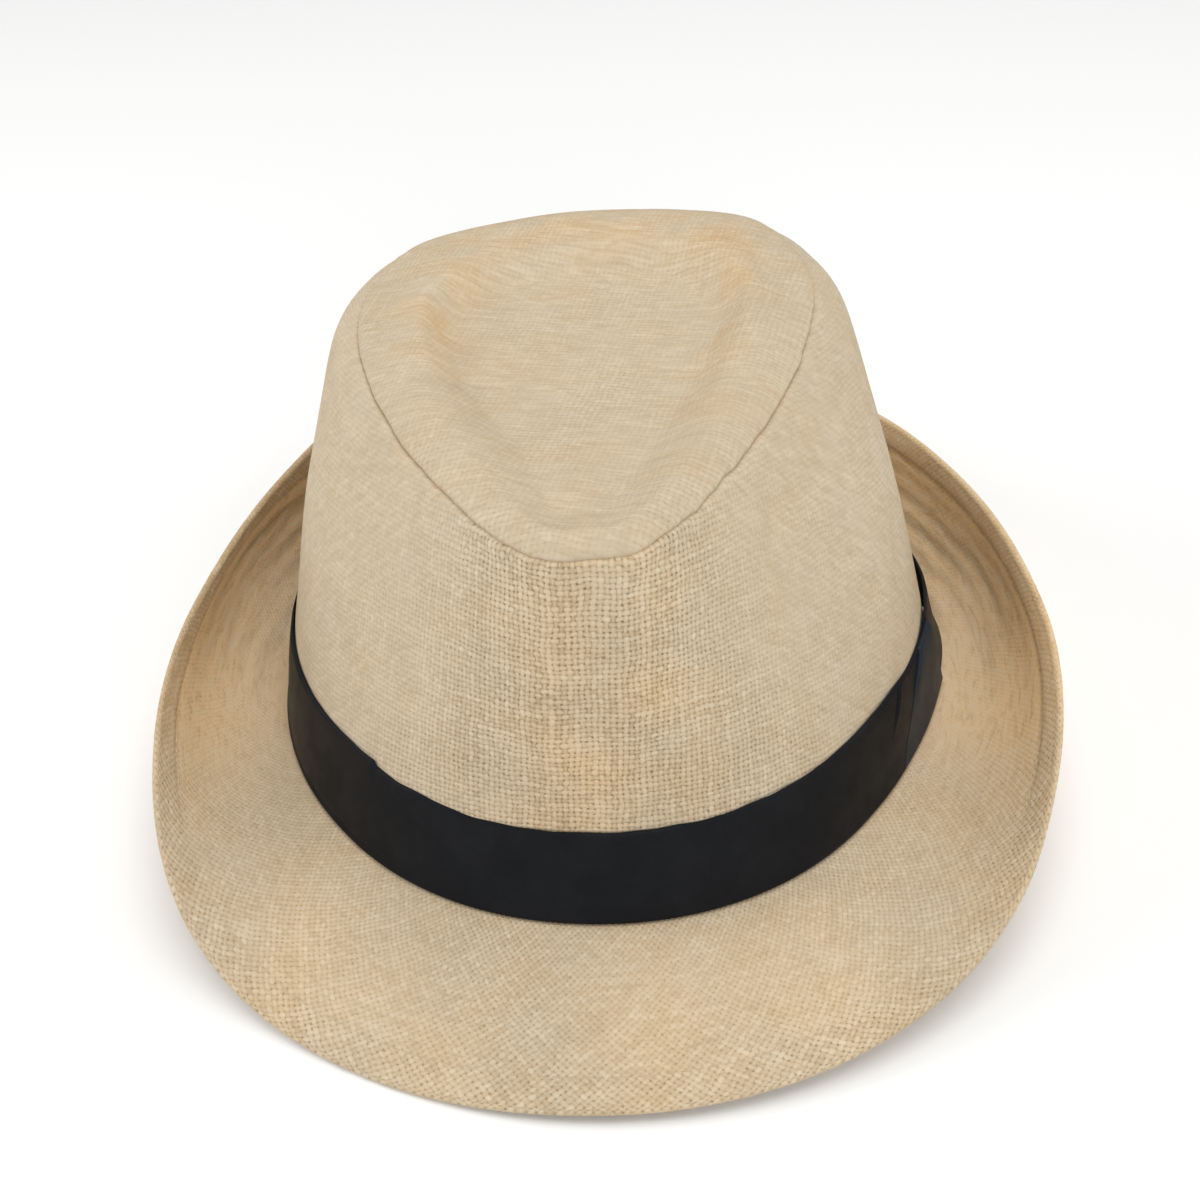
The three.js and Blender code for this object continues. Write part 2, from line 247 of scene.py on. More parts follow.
def outline(points):
    """Closed outline that can be read at an even share of its length."""
    ring = np.vstack([points, points[:1]])
    run = np.concatenate([[0], np.cumsum(np.linalg.norm(np.diff(ring, axis=0), axis=1))])

    def at(share):
        want = np.mod(share, 1.0) * run[-1]
        return np.stack([np.interp(want, run, ring[:, k]) for k in range(3)], -1)

    return at


def head_points():
    """Rounded oval of the crown's foot, from the front toward +X."""
    angle = np.arange(0, 360, 0.125)
    turn = np.radians(angle)
    s = np.abs(np.sin(turn)) / HEAD_HALF_WIDTH
    c = np.abs(np.cos(turn)) / HEAD_HALF_LENGTH
    r = (s ** HEAD_ROUNDNESS + c ** HEAD_ROUNDNESS) ** (-1 / HEAD_ROUNDNESS)
    r = r + smooth_through(FULLER_ANGLE, FULLER_OUT, angle)
    x = r * np.sin(turn)
    y = -r * np.cos(turn)
    return np.stack([x, y, np.zeros_like(x)], -1)


def seam_height(y):
    t = (y - SEAM_Y[0]) / (SEAM_Y[-1] - SEAM_Y[0])
    return SEAM_FRONT_HEIGHT + (SEAM_BACK_HEIGHT - SEAM_FRONT_HEIGHT) * t


def seam_points():
    x = np.array(SEAM_X + [-v for v in SEAM_X[-2:0:-1]], float)
    y = np.array(SEAM_Y + SEAM_Y[-2:0:-1], float)
    knots = np.stack([x, y, seam_height(y)], -1)
    t = np.linspace(0, 1, 96, endpoint=False)[:, None]
    count = len(knots)
    runs = []
    for k in range(count):
        runs.append(through(knots[k - 1], knots[k], knots[(k + 1) % count], knots[(k + 2) % count], t))
    p = np.concatenate(runs)
    p[:, :2] = turned(p[:, :2], SEAM_TWIST)
    p[:, 0] += SEAM_LEAN
    p[:, 2] += SEAM_ROLL * p[:, 0]
    return p


head_at = outline(head_points())
seam_at = outline(seam_points())


def half(share):
    s = np.mod(share, 1.0)
    return np.minimum(s, 1 - s)


def outward(share):
    """Level direction pointing out of the head outline."""
    along = head_at(share + 0.004) - head_at(share - 0.004)
    return unit(np.stack([along[..., 1], -along[..., 0], np.zeros_like(along[..., 0])], -1))


def side_points(share, steps):
    """Outer face of the side wall: step 0 at its foot, 1 at the band's top, 4 at the tip seam."""
    out = outward(share)
    foot = head_at(share)
    top = seam_at(share)
    band_in = smooth_through(SIDE_AROUND, SIDE_BAND_IN, half(share))[..., None]
    middle_out = smooth_through(SIDE_AROUND, SIDE_MIDDLE_OUT, half(share))[..., None]
    shoulder_out = smooth_through(SIDE_AROUND, SIDE_SHOULDER_OUT, half(share))[..., None]
    band = foot - out * band_in
    band[..., 2] = BAND_HEIGHT
    middle = band + (top - band) * MIDDLE_UP + out * middle_out
    shoulder = band + (top - band) * SHOULDER_UP + out * shoulder_out
    knots = [2 * foot - band, foot, band, middle, shoulder, top, 2 * top - shoulder]
    rows = []
    for at in steps:
        k = min(3, int(at))
        rows.append(through(knots[k], knots[k + 1], knots[k + 2], knots[k + 3], at - k))
    return np.array(rows)


def tip_points(share, parts):
    """Outer face of the tip panel, at shares of the way from the seam to the dent's spine."""
    rim = seam_at(share)
    front = seam_at(0.0)[1]
    back = seam_at(0.5)[1]
    t = (rim[:, 1] - front) / (back - front)
    spine_y = SPINE_FRONT + (SPINE_BACK - SPINE_FRONT) * t
    way = np.stack([np.full_like(t, SEAM_LEAN), spine_y, rim[:, 2]], -1) - rim
    reach = np.linalg.norm(way, axis=1)
    at = half(share)
    xs = [np.full_like(at, -6), np.zeros_like(at)]
    ys = [np.full_like(at, -8), np.zeros_like(at)]
    for name in ("crest", "lip", "wall", "floor"):
        xs.append(smooth_through(TIP_IN_AROUND, TIP_IN[name], at))
        ys.append(smooth_through(TIP_UP_AROUND, TIP_UP[name], at))
    xs.append(reach * 2)
    ys.append(ys[-1])
    rows = []
    for part in parts:
        p = rim + way * part
        p[:, 2] = seam_height(p[:, 1]) + SEAM_ROLL * p[:, 0] + smooth_through(xs, ys, reach * part)
        rows.append(p)
    return np.array(rows)


def direction(foot):
    """Direction of points of the foot from the front toward +X, in degrees."""
    return np.degrees(np.arctan2(foot[:, 0], -foot[:, 1]))


def curl(angle):
    """How far the brim is curled: hardly at all at the flat front, fully at the sides and back."""
    return step(np.abs(angle), 62, 44)


def brim_points(share, outs):
    """Middle of the brim's cloth with its normal, at distances out along it from the crown."""
    foot = head_at(share)
    angle = direction(foot)
    root = smooth_through(BRIM_ANGLE, BRIM_ROOT, angle)
    edge = smooth_through(BRIM_ANGLE, BRIM_EDGE, angle)
    lip = LIP_TURN * curl(angle)
    way = outward(share)
    run = BRIM_WIDTH - BRIM_SEAT
    slices = 24
    ticks = (np.arange(slices) + 0.5) / slices

    def slope_at(part):
        turned_back = lip * step(part, (1 + LIP_START) / 2, 1 - LIP_START)
        return np.radians(root + (edge - root) * part - turned_back)

    points = []
    normals = []
    for out in outs:
        part = max(0, out - BRIM_SEAT) / run
        slopes = np.array([slope_at(part * tick) for tick in ticks])
        p = foot + way * (min(out, BRIM_SEAT) + run * part * np.cos(slopes).mean(0))[:, None]
        p[:, 2] = -GAP - BRIM_CLOTH / 2 + run * part * np.sin(slopes).mean(0)
        slope = slope_at(part) * (out > BRIM_SEAT)
        n = -way * np.sin(slope)[:, None]
        n[:, 2] = np.cos(slope)
        points.append(p)
        normals.append(n)
    return np.array(points), np.array(normals), np.broadcast_to(angle, (len(outs), len(angle)))


def turn_to_rest(vectors):
    """Hat's own directions to those of the resting hat, whose front is raised by the pitch."""
    c = math.cos(math.radians(PITCH))
    s = math.sin(math.radians(PITCH))
    x, y, z = vectors[..., 0], vectors[..., 1], vectors[..., 2]
    return np.stack([x, y * c + z * s, z * c - y * s], -1)


def hat_middle():
    """Middle of the resting brim's box, seen from above."""
    points, normals, _ = brim_points(np.arange(80) / 80, np.linspace(0, BRIM_WIDTH, 25))
    faces = np.concatenate([points + normals * BRIM_CLOTH / 2, points - normals * BRIM_CLOTH / 2])
    faces = turn_to_rest(faces).reshape(-1, 3)
    return (faces.min(0) + faces.max(0)) / 2 * (1, 1, 0)


MIDDLE = hat_middle()


def place(points):
    """Hat's own frame in millimetres to the row frame in metres."""
    return (turn_to_rest(points) - MIDDLE + (0, 0, STAND)) * MM


def grid_normals(rows, closed=True):
    """Normals of a grid of points whose rows run around the hat."""
    if closed:
        around = np.roll(rows, -1, axis=1) - np.roll(rows, 1, axis=1)
    else:
        around = np.gradient(rows, axis=1)
    return unit(np.cross(around, np.gradient(rows, axis=0)))


def runs_from_start(rows):
    """Length of the cloth from the first row to each row."""
    lengths = np.linalg.norm(np.diff(rows, axis=0), axis=-1)
    return np.concatenate([np.zeros((1, rows.shape[1])), np.cumsum(lengths, axis=0)])


def wobble(points, size, seed):
    """Gentle unevenness of hand-sewn cloth, about -1 to 1, with a given wave size."""
    draw = np.random.default_rng(seed)
    total = np.zeros(points.shape[:-1])
    for _ in range(7):
        way = unit(draw.normal(size=3))
        wave = size * draw.uniform(0.7, 1.6)
        total += np.sin(points @ way * (2 * math.pi / wave) + draw.uniform(0, 2 * math.pi))
    return total / 3.5


# Mesh building

def new_piece(name, mesh):
    piece = bpy.data.objects.new(name, mesh)
    bpy.context.collection.objects.link(piece)
    return piece


def body_volume(mesh):
    mesh.calc_loop_triangles()
    corner = np.empty(len(mesh.vertices) * 3)
    mesh.vertices.foreach_get("co", corner)
    corner = corner.reshape(-1, 3)
    tris = np.empty(len(mesh.loop_triangles) * 3, int)
    mesh.loop_triangles.foreach_get("vertices", tris)
    a, b, c = (corner[tris.reshape(-1, 3)[:, k]] for k in range(3))
    return float(np.einsum("ij,ij->i", a, np.cross(b, c)).sum())


def cloth_piece(name, rows, cuts, material, capped=False, **shades):
    """Closed body over rings of points, with the cloth's flat places in metres as its UV maps.

    The rings close on themselves, or the first and last are capped across. Each map repeats the first
    column, and the first row of a body that isn't capped, so each join keeps its own place.
    """
    rings, count = rows.shape[:2]
    j, i = np.meshgrid(np.arange(rings - capped), np.arange(count), indexing="ij")
    up = (j + 1) % rings
    on = (i + 1) % count
    faces = np.stack([j * count + i, j * count + on, up * count + on, up * count + i], -1).reshape(-1, 4)
    if capped:
        k = np.arange(count // 2 - 1)
        across = np.stack([k, k + 1, count - 2 - k, count - 1 - k], -1)
        faces = np.concatenate([faces, across[:, ::-1], across + (rings - 1) * count])
    mesh = bpy.data.meshes.new(name)
    mesh.from_pydata(place(rows).reshape(-1, 3).tolist(), [], faces.tolist())
    for label, flat in cuts.items():
        corners = np.stack([flat[j, i], flat[j, i + 1], flat[j + 1, i + 1], flat[j + 1, i]], -2)
        corners = corners.reshape(-1, 4, 2)
        if capped:
            corners = np.concatenate([corners, flat[0][across[:, ::-1]], flat[rings - 1][across]])
        layer = mesh.uv_layers.new(name=label)
        layer.data.foreach_set("uv", (corners * MM).astype(np.float32).ravel())
    for label, values in shades.items():
        shade = mesh.attributes.new(label, "FLOAT", "POINT")
        shade.data.foreach_set("value", np.clip(values, 0, 1).astype(np.float32).ravel())
    mesh.polygons.foreach_set("use_smooth", np.ones(len(mesh.polygons), bool))
    if body_volume(mesh) < 0:
        mesh.flip_normals()
    mesh.materials.append(material)
    mesh.update()
    return new_piece(name, mesh)


# Shader helpers

def add(tree, kind, **values):
    made = tree.nodes.new(kind)
    for name, value in values.items():
        setattr(made, name, value)
    return made


def feed(tree, target, source):
    """Links a socket, or sets a plain value on it."""
    if hasattr(source, "is_output"):
        tree.links.new(source, target)
    else:
        target.default_value = source


def calc(tree, operation, *inputs):
    made = add(tree, "ShaderNodeMath", operation=operation)
    for k, value in enumerate(inputs):
        feed(tree, made.inputs[k], value)
    return made.outputs[0]


def between(tree, share, low, high):
    made = add(tree, "ShaderNodeMix", data_type="FLOAT")
    feed(tree, made.inputs["Factor"], share)
    feed(tree, made.inputs[2], low)
    feed(tree, made.inputs[3], high)
    return made.outputs[0]


def blend(tree, share, low, high):
    made = add(tree, "ShaderNodeMix", data_type="RGBA")
    feed(tree, made.inputs["Factor"], share)
    feed(tree, made.inputs[6], low)
    feed(tree, made.inputs[7], high)
    return made.outputs[2]


def ease(tree, value, low, high, to_low=0.0, to_high=1.0):
    made = add(tree, "ShaderNodeMapRange", interpolation_type="SMOOTHSTEP")
    feed(tree, made.inputs["Value"], value)
    for name, number in zip(("From Min", "From Max", "To Min", "To Max"), (low, high, to_low, to_high)):
        made.inputs[name].default_value = number
    return made.outputs["Result"]


def noise(tree, vector, scale, detail=2.0, rough=0.5, twist=0.0):
    made = add(tree, "ShaderNodeTexNoise")
    feed(tree, made.inputs["Vector"], vector)
    made.inputs["Scale"].default_value = scale
    made.inputs["Detail"].default_value = detail
    made.inputs["Roughness"].default_value = rough
    made.inputs["Distortion"].default_value = twist
    return made.outputs["Fac"]


def joined(tree, x, y, z=0.0):
    made = add(tree, "ShaderNodeCombineXYZ")
    for k, value in enumerate((x, y, z)):
        feed(tree, made.inputs[k], value)
    return made.outputs[0]


def chance(tree, x, y):
    """Even random value for each whole-number place."""
    made = add(tree, "ShaderNodeTexWhiteNoise", noise_dimensions="2D")
    feed(tree, made.inputs["Vector"], joined(tree, x, y))
    return made.outputs["Value"]


def new_group(name, inputs, outputs):
    tree = bpy.data.node_groups.new(name, "ShaderNodeTree")
    for label, kind, value in inputs:
        made = tree.interface.new_socket(label, in_out="INPUT", socket_type=kind)
        if value is not None:
            made.default_value = value
    for label in outputs:
        tree.interface.new_socket(label, in_out="OUTPUT", socket_type="NodeSocketFloat")
    return tree, add(tree, "NodeGroupInput").outputs, add(tree, "NodeGroupOutput").inputs


# Weave: how strongly yarns wander, and what each cause adds to their height and tone
YARN_WANDER = 1.5
YARN_SWAY = 0.34
CREST_HEIGHT = 0.42
# Crest and round tones paint highlight where a yarn passes over and along its middle, and shade where it
# dives under and at its sides
CREST_PAINTED_SHADING = 0.14
SLUB_TONE = 0.9
FIBRE_TONE = 0.75
CROSSING_TONE = 0.24
ROUND_PAINTED_SHADING = 0.42


def plain_weave_group():
    """Over-and-under slubby yarns: relief, open pores and the tone of the yarn on top, with painted
    highlight and shade on the yarns.
    """
    tree, given, result = new_group(
        "plain_weave",
        [("Flat Place", "NodeSocketVector", None), ("Yarn Spacing", "NodeSocketFloat", 0.0014),
         ("Slub", "NodeSocketFloat", 0.5), ("Weft Lead", "NodeSocketFloat", 0.5)],
        ["Height", "Pore", "Yarn Tone"],
    )
    scaled = add(tree, "ShaderNodeVectorMath", operation="SCALE")
    feed(tree, scaled.inputs[0], given["Flat Place"])
    feed(tree, scaled.inputs["Scale"], calc(tree, "DIVIDE", 1.0, given["Yarn Spacing"]))
    # Yarns wander a little, so that rows are never quite even
    drift = add(tree, "ShaderNodeTexNoise")
    feed(tree, drift.inputs["Vector"], scaled.outputs[0])
    drift.inputs["Scale"].default_value = 0.16
    drift.inputs["Detail"].default_value = 3
    wander = add(tree, "ShaderNodeVectorMath", operation="MULTIPLY_ADD")
    feed(tree, wander.inputs[0], drift.outputs["Color"])
    wander.inputs[1].default_value = (YARN_WANDER, YARN_WANDER, 0)
    feed(tree, wander.inputs[2], scaled.outputs[0])
    split = add(tree, "ShaderNodeSeparateXYZ")
    feed(tree, split.inputs[0], wander.outputs[0])
    u, v = split.outputs[0], split.outputs[1]
    lead = calc(tree, "SUBTRACT", given["Weft Lead"], 0.5)
    crossing = calc(tree, "SUBTRACT", chance(tree, calc(tree, "FLOOR", u), calc(tree, "FLOOR", v)), 0.5)

    def yarn(across, along, over):
        """One set of yarns: roundness, height and tone, lifted where a yarn passes over; the tone is painted
        lighter on crests and middles, darker under and at the sides.
        """
        own = calc(tree, "FLOOR", across)
        row = calc(tree, "MULTIPLY", own, 3.7)
        thick = noise(tree, joined(tree, row, calc(tree, "MULTIPLY", along, 0.17), 9.0 * over), 1.0, 2.0)
        thick = calc(tree, "MULTIPLY", calc(tree, "SUBTRACT", thick, 0.5), given["Slub"])
        sway = noise(tree, joined(tree, row, calc(tree, "MULTIPLY", along, 0.7), 30.0 + over), 1.0, 1.0)
        swayed = calc(tree, "MULTIPLY_ADD", sway, YARN_SWAY, -0.5 - YARN_SWAY / 2)
        place = calc(tree, "ADD", calc(tree, "FRACT", across), swayed)
        side = calc(tree, "DIVIDE", place, calc(tree, "MULTIPLY_ADD", thick, 0.7, 0.47))
        bulge = calc(tree, "SUBTRACT", 1.0, calc(tree, "MULTIPLY", side, side))
        bulge = calc(tree, "MAXIMUM", bulge, 0.0)
        rounded = calc(tree, "SQRT", bulge)
        turn = calc(tree, "ADD", calc(tree, "SUBTRACT", along, 0.5), own)
        crest = calc(tree, "MULTIPLY", calc(tree, "COSINE", calc(tree, "MULTIPLY", turn, math.pi)), over)
        own_lead = calc(tree, "MULTIPLY", lead, -over)
        height = calc(tree, "ADD", calc(tree, "MULTIPLY_ADD", crest, CREST_HEIGHT, rounded), own_lead)
        height = calc(tree, "ADD", height, thick)
        fibre = joined(tree, calc(tree, "MULTIPLY", across, 4.0), calc(tree, "MULTIPLY", along, 0.9), over)
        fibre = calc(tree, "SUBTRACT", noise(tree, fibre, 1.0, 2.0), 0.5)
        shade = calc(tree, "MULTIPLY_ADD", chance(tree, own, 40.0 + over), 0.3, 0.3)
        # Painted highlight where the yarn passes over, painted shade where it dives under
        tone = calc(tree, "MULTIPLY_ADD", crest, CREST_PAINTED_SHADING, shade)
        tone = calc(tree, "MULTIPLY_ADD", thick, SLUB_TONE, tone)
        tone = calc(tree, "MULTIPLY_ADD", fibre, FIBRE_TONE, tone)
        tone = calc(tree, "MULTIPLY_ADD", crossing, CROSSING_TONE, tone)
        # Painted highlight along the yarn's middle, painted shade at its sides
        tone = calc(tree, "MULTIPLY_ADD", calc(tree, "SUBTRACT", bulge, 0.6), ROUND_PAINTED_SHADING, tone)
        return rounded, height, tone

    warp_round, warp_height, warp_tone = yarn(u, v, 1.0)
    weft_round, weft_height, weft_tone = yarn(v, u, -1.0)
    over = calc(tree, "GREATER_THAN", warp_height, weft_height)
    corner = chance(tree, calc(tree, "ROUND", u), calc(tree, "ROUND", v))
    warp_open = calc(tree, "SUBTRACT", 1.0, warp_round)
    weft_open = calc(tree, "SUBTRACT", 1.0, weft_round)
    pore = ease(tree, calc(tree, "MULTIPLY", warp_open, weft_open), 0.1, 0.45)
    pore = calc(tree, "MULTIPLY", pore, ease(tree, corner, 0.05, 0.95, 0.12, 1.0))
    feed(tree, result["Height"], calc(tree, "MAXIMUM", warp_height, weft_height))
    feed(tree, result["Pore"], pore)
    feed(tree, result["Yarn Tone"], between(tree, over, weft_tone, warp_tone))
    return tree


def mottle_group():
    """Uneven shade of undyed cloth: broad clouds, warm patches and small flecks, each 0 to 1."""
    tree, given, result = new_group(
        "mottle",
        [("Place", "NodeSocketVector", None)],
        ["Cloud", "Warm", "Fleck"],
    )
    shifted = add(tree, "ShaderNodeVectorMath", operation="ADD")
    feed(tree, shifted.inputs[0], given["Place"])
    shifted.inputs[1].default_value = (3, 1, 2)
    feed(tree, result["Cloud"], ease(tree, noise(tree, given["Place"], 90.0, 4.0, 0.6), 0.3, 0.7))
    feed(tree, result["Warm"], ease(tree, noise(tree, shifted.outputs[0], 62.0, 3.0, 0.55), 0.32, 0.7))
    feed(tree, result["Fleck"], ease(tree, noise(tree, shifted.outputs[0], 900.0, 1.0, 0.5), 0.66, 0.78))
    return tree


def yarn_streaks_group():
    """Fine streaks along the lay of the yarn, about 0 to 1."""
    tree, given, result = new_group("yarn_streaks", [("Lay Place", "NodeSocketVector", None)], ["Streak"])
    streaks_along = 130
    streaks_across = 620
    drawn = add(tree, "ShaderNodeVectorMath", operation="MULTIPLY")
    feed(tree, drawn.inputs[0], given["Lay Place"])
    drawn.inputs[1].default_value = (streaks_along, streaks_across, 1)
    feed(tree, result["Streak"], noise(tree, drawn.outputs[0], 1.0, 3.0, 0.6, 0.7))
    return tree


PLAIN_WEAVE = plain_weave_group()
YARN_STREAKS = yarn_streaks_group()
MOTTLE = mottle_group()


def new_material(name):
    """Material with its tree and its surface shader."""
    made = bpy.data.materials.new(name)
    made.use_nodes = True
    tree = made.node_tree
    tree.nodes.clear()
    shader = add(tree, "ShaderNodeBsdfPrincipled")
    output = add(tree, "ShaderNodeOutputMaterial")
    tree.links.new(shader.outputs[0], output.inputs["Surface"])
    return made, tree, shader


def woven(tree, yarn_spacing, slub, weft_lead):
    weave = add(tree, "ShaderNodeGroup", node_tree=PLAIN_WEAVE)
    feed(tree, weave.inputs["Flat Place"], add(tree, "ShaderNodeUVMap", uv_map="flat_cut").outputs[0])
    weave.inputs["Yarn Spacing"].default_value = yarn_spacing * MM
    weave.inputs["Slub"].default_value = slub
    feed(tree, weave.inputs["Weft Lead"], weft_lead)
    return weave.outputs


def streaked(tree):
    streaks = add(tree, "ShaderNodeGroup", node_tree=YARN_STREAKS)
    feed(tree, streaks.inputs["Lay Place"], add(tree, "ShaderNodeUVMap", uv_map="yarn_lay").outputs[0])
    return streaks.outputs["Streak"]


def mottled(tree):
    mottle = add(tree, "ShaderNodeGroup", node_tree=MOTTLE)
    feed(tree, mottle.inputs["Place"], add(tree, "ShaderNodeTexCoord").outputs["Object"])
    return mottle.outputs


def relief(tree, shader, height, strength, distance):
    made = add(tree, "ShaderNodeBump")
    made.inputs["Strength"].default_value = strength
    made.inputs["Distance"].default_value = distance * MM
    feed(tree, made.inputs["Height"], height)
    feed(tree, shader.inputs["Normal"], made.outputs[0])


# Colours of the cloth and the ribbon
STRAW_GREY = (0.575, 0.48, 0.345, 1)
STRAW_WARM = (0.585, 0.463, 0.308, 1)
# Brown, lighter than the cloth: a brown tint, and painted light on the curled brim
STRAW_BROWN_AND_PAINTED_LIGHT = (0.9, 0.625, 0.34, 1)
# Darker colour painted in as shade
STRAW_PAINTED_SHADE = (0.4, 0.28, 0.155, 1)
STRAW_LIGHT = (0.77, 0.665, 0.5, 1)
STRAW_DARK = (0.41, 0.305, 0.18, 1)
STRAW_PORE = (0.25, 0.17, 0.09, 1)
RIBBON_DARK = (0.0058, 0.0068, 0.009, 1)
RIBBON_LIGHT = (0.0105, 0.0116, 0.0142, 1)
# Lighter, bluer colour painted on the tuck's fold as sheen, and how much of it
RIBBON_PAINTED_SHEEN = (0.036, 0.054, 0.077, 1)
FOLD_PAINTED_SHEEN = 0.35

# Straw cloth: contrast of its yarns, its streaks, clouds, flecks and pores
TONE_GAIN = 1.6
MIDDLE_TONE = 0.46
CLOSED_CONTRAST = 0.12
OPEN_DARKER = 0.24
STREAK = 0.85
STREAK_LESS_OPEN = 0.7
STREAK_MORE_BROWN = 0.6
CLOUD_TONE = 0.08
FLECK = 0.2
PORE_CLOSED = 0.03
PORE_OPEN = 0.78
RELIEF_CLOSED = 0.18
RELIEF_OPEN = 0.82


def shade_of(tree, name):
    """Shade kept at the points of a cloth, 0 to 1."""
    return add(tree, "ShaderNodeAttribute", attribute_name=name).outputs["Fac"]


def straw_cloth(name, yarn_spacing):
    """Undyed plain-weave cloth with slubby yarns, more open or browner in places, with painted light on the
    curled brim and painted shade in places.
    """
    made, tree, shader = new_material(name)
    openness = shade_of(tree, "open_weave")
    weave = woven(tree, yarn_spacing, 0.5, calc(tree, "MULTIPLY_ADD", openness, -0.25, 0.7))
    mottle = mottled(tree)
    ground = blend(tree, mottle["Warm"], STRAW_GREY, STRAW_WARM)
    browned = shade_of(tree, "browned")
    # Brown tint; on the curled brim also painted light, lighter than the cloth where the crown shades it
    ground = blend(tree, browned, ground, STRAW_BROWN_AND_PAINTED_LIGHT)
    # Painted shade: darker colour where the brim's rows are pressed, on its curled hem, at its flat front
    # and over the tip
    ground = blend(tree, shade_of(tree, "dulled"), ground, STRAW_PAINTED_SHADE)
    contrast = calc(tree, "ADD", openness, CLOSED_CONTRAST)
    tone = calc(tree, "MULTIPLY", calc(tree, "SUBTRACT", weave["Yarn Tone"], MIDDLE_TONE), contrast)
    tone = calc(tree, "MULTIPLY_ADD", calc(tree, "MULTIPLY", openness, openness), -OPEN_DARKER, tone)
    drawn = calc(tree, "MULTIPLY_ADD", openness, -STREAK_LESS_OPEN, STREAK)
    drawn = calc(tree, "MULTIPLY_ADD", browned, STREAK_MORE_BROWN, drawn)
    tone = calc(tree, "MULTIPLY_ADD", calc(tree, "SUBTRACT", streaked(tree), 0.5), drawn, tone)
    tone = calc(tree, "MULTIPLY_ADD", calc(tree, "SUBTRACT", mottle["Cloud"], 0.5), CLOUD_TONE, tone)
    lighter = calc(tree, "MULTIPLY", calc(tree, "MAXIMUM", tone, 0.0), TONE_GAIN)
    darker = calc(tree, "MULTIPLY", calc(tree, "MINIMUM", tone, 0.0), -TONE_GAIN)
    colour = blend(tree, lighter, ground, STRAW_LIGHT)
    colour = blend(tree, darker, colour, STRAW_DARK)
    colour = blend(tree, calc(tree, "MULTIPLY", mottle["Fleck"], FLECK), colour, STRAW_LIGHT)
    pore = calc(tree, "MULTIPLY_ADD", openness, PORE_OPEN, PORE_CLOSED)
    pore = calc(tree, "MULTIPLY", weave["Pore"], pore)
    colour = blend(tree, pore, colour, STRAW_PORE)
    feed(tree, shader.inputs["Base Color"], colour)
    feed(tree, shader.inputs["Roughness"], ease(tree, weave["Yarn Tone"], 0.3, 0.75, 0.9, 0.7))
    shader.inputs["Specular IOR Level"].default_value = 0.2
    depth = calc(tree, "MULTIPLY_ADD", openness, RELIEF_OPEN, RELIEF_CLOSED)
    relief(tree, shader, calc(tree, "MULTIPLY", weave["Height"], depth), 0.7, 0.35)
    return made


def black_ribbon(name, painted_sheen=0):
    """Black satin ribbon, fine crosswise rib and dull sheen; its fold may get a lighter, bluer colour
    painted in as sheen.
    """
    made, tree, shader = new_material(name)
    weave = woven(tree, RIBBON_YARN, 0.3, 0.5)
    mottle = mottled(tree)
    tone = calc(tree, "MULTIPLY_ADD", mottle["Cloud"], 0.6, calc(tree, "MULTIPLY", weave["Yarn Tone"], 0.4))
    colour = blend(tree, tone, RIBBON_DARK, RIBBON_LIGHT)
    # Painted sheen: the fold's colour is lifted toward a lighter blue
    colour = blend(tree, painted_sheen, colour, RIBBON_PAINTED_SHEEN)
    feed(tree, shader.inputs["Base Color"], colour)
    feed(tree, shader.inputs["Roughness"], ease(tree, mottle["Cloud"], 0.0, 1.0, 0.52, 0.44))
    shader.inputs["Specular IOR Level"].default_value = 0.1
    shader.inputs["Sheen Weight"].default_value = 0.012
    shader.inputs["Sheen Roughness"].default_value = 0.3
    relief(tree, shader, weave["Height"], 0.2, 0.08)
    return made


def sewing_thread(name):
    """Straw-coloured thread."""
    made, tree, shader = new_material(name)
    colour = blend(tree, mottled(tree)["Cloud"], STRAW_GREY, STRAW_WARM)
    feed(tree, shader.inputs["Base Color"], colour)
    shader.inputs["Roughness"].default_value = 0.75
    return made


CROWN_STRAW = straw_cloth("crown_straw", CROWN_YARN)
BRIM_STRAW = straw_cloth("brim_straw", BRIM_YARN)
BAND_RIBBON = black_ribbon("band_ribbon")
# The tuck's ribbon has the painted sheen on its fold
TUCK_RIBBON = black_ribbon("tuck_ribbon", FOLD_PAINTED_SHEEN)
THREAD = sewing_thread("sewing_thread")

# Pieces of the hat

SHARES = np.arange(AROUND) / AROUND - 0.5
COLUMNS = np.append(SHARES, 0.5)
NEAR_SEAM = np.array([4.5, 3.4, 2.6, 2, 1.5, 1.1, 0.8, 0.55, 0.35, 0.2, 0.1, 0])


def seam_groove(away):
    """Relief beside the tip seam: the edges turn in, over a slight ridge of the cloth inside."""
    return SEAM_RIDGE * bump(away, 2.6, 1.5) - SEAM_GROOVE * bump(away, 0, SEAM_GROOVE_HALF)


def seam_pucker(away):
    """Unevenness of the sewn line, shared by both panels and fading out away from it."""
    up = side_points(SHARES, [3.99, 4])
    inward = tip_points(SHARES, [0, 0.004])
    way = unit(unit(up[1] - up[0]) + unit(inward[1] - inward[0]))
    rim = seam_at(SHARES)
    shift = SEAM_PUCKER_BROAD * wobble(rim, 12, 21) + SEAM_PUCKER_FINE * wobble(rim, 5, 22)
    return way * (shift * bump(away, 0, 4))[..., None]


def side_cuts(share, rise):
    """Flat places of the side strip: part of a cone, straight to the grain at the centre front."""
    spread = (FOOT_RUN - SEAM_RUN) / SIDE_SLANT
    angle = share * spread
    radius = FOOT_RUN / spread - rise
    lay = np.stack([-np.abs(angle) * radius, rise], -1)
    return {"flat_cut": np.stack([radius * np.sin(angle), -radius * np.cos(angle)], -1),
            "yarn_lay": turned(lay, FLANK_LAY)}


def closed_cuts(cuts, picked, loop=True):
    """Flat places for both faces of a cloth, its inner face made of the picked rows."""
    made = {}
    for label, flat in cuts.items():
        made[label] = np.concatenate([flat, flat[picked], flat[:1]] if loop else [flat[::-1], flat[picked]])
    return made


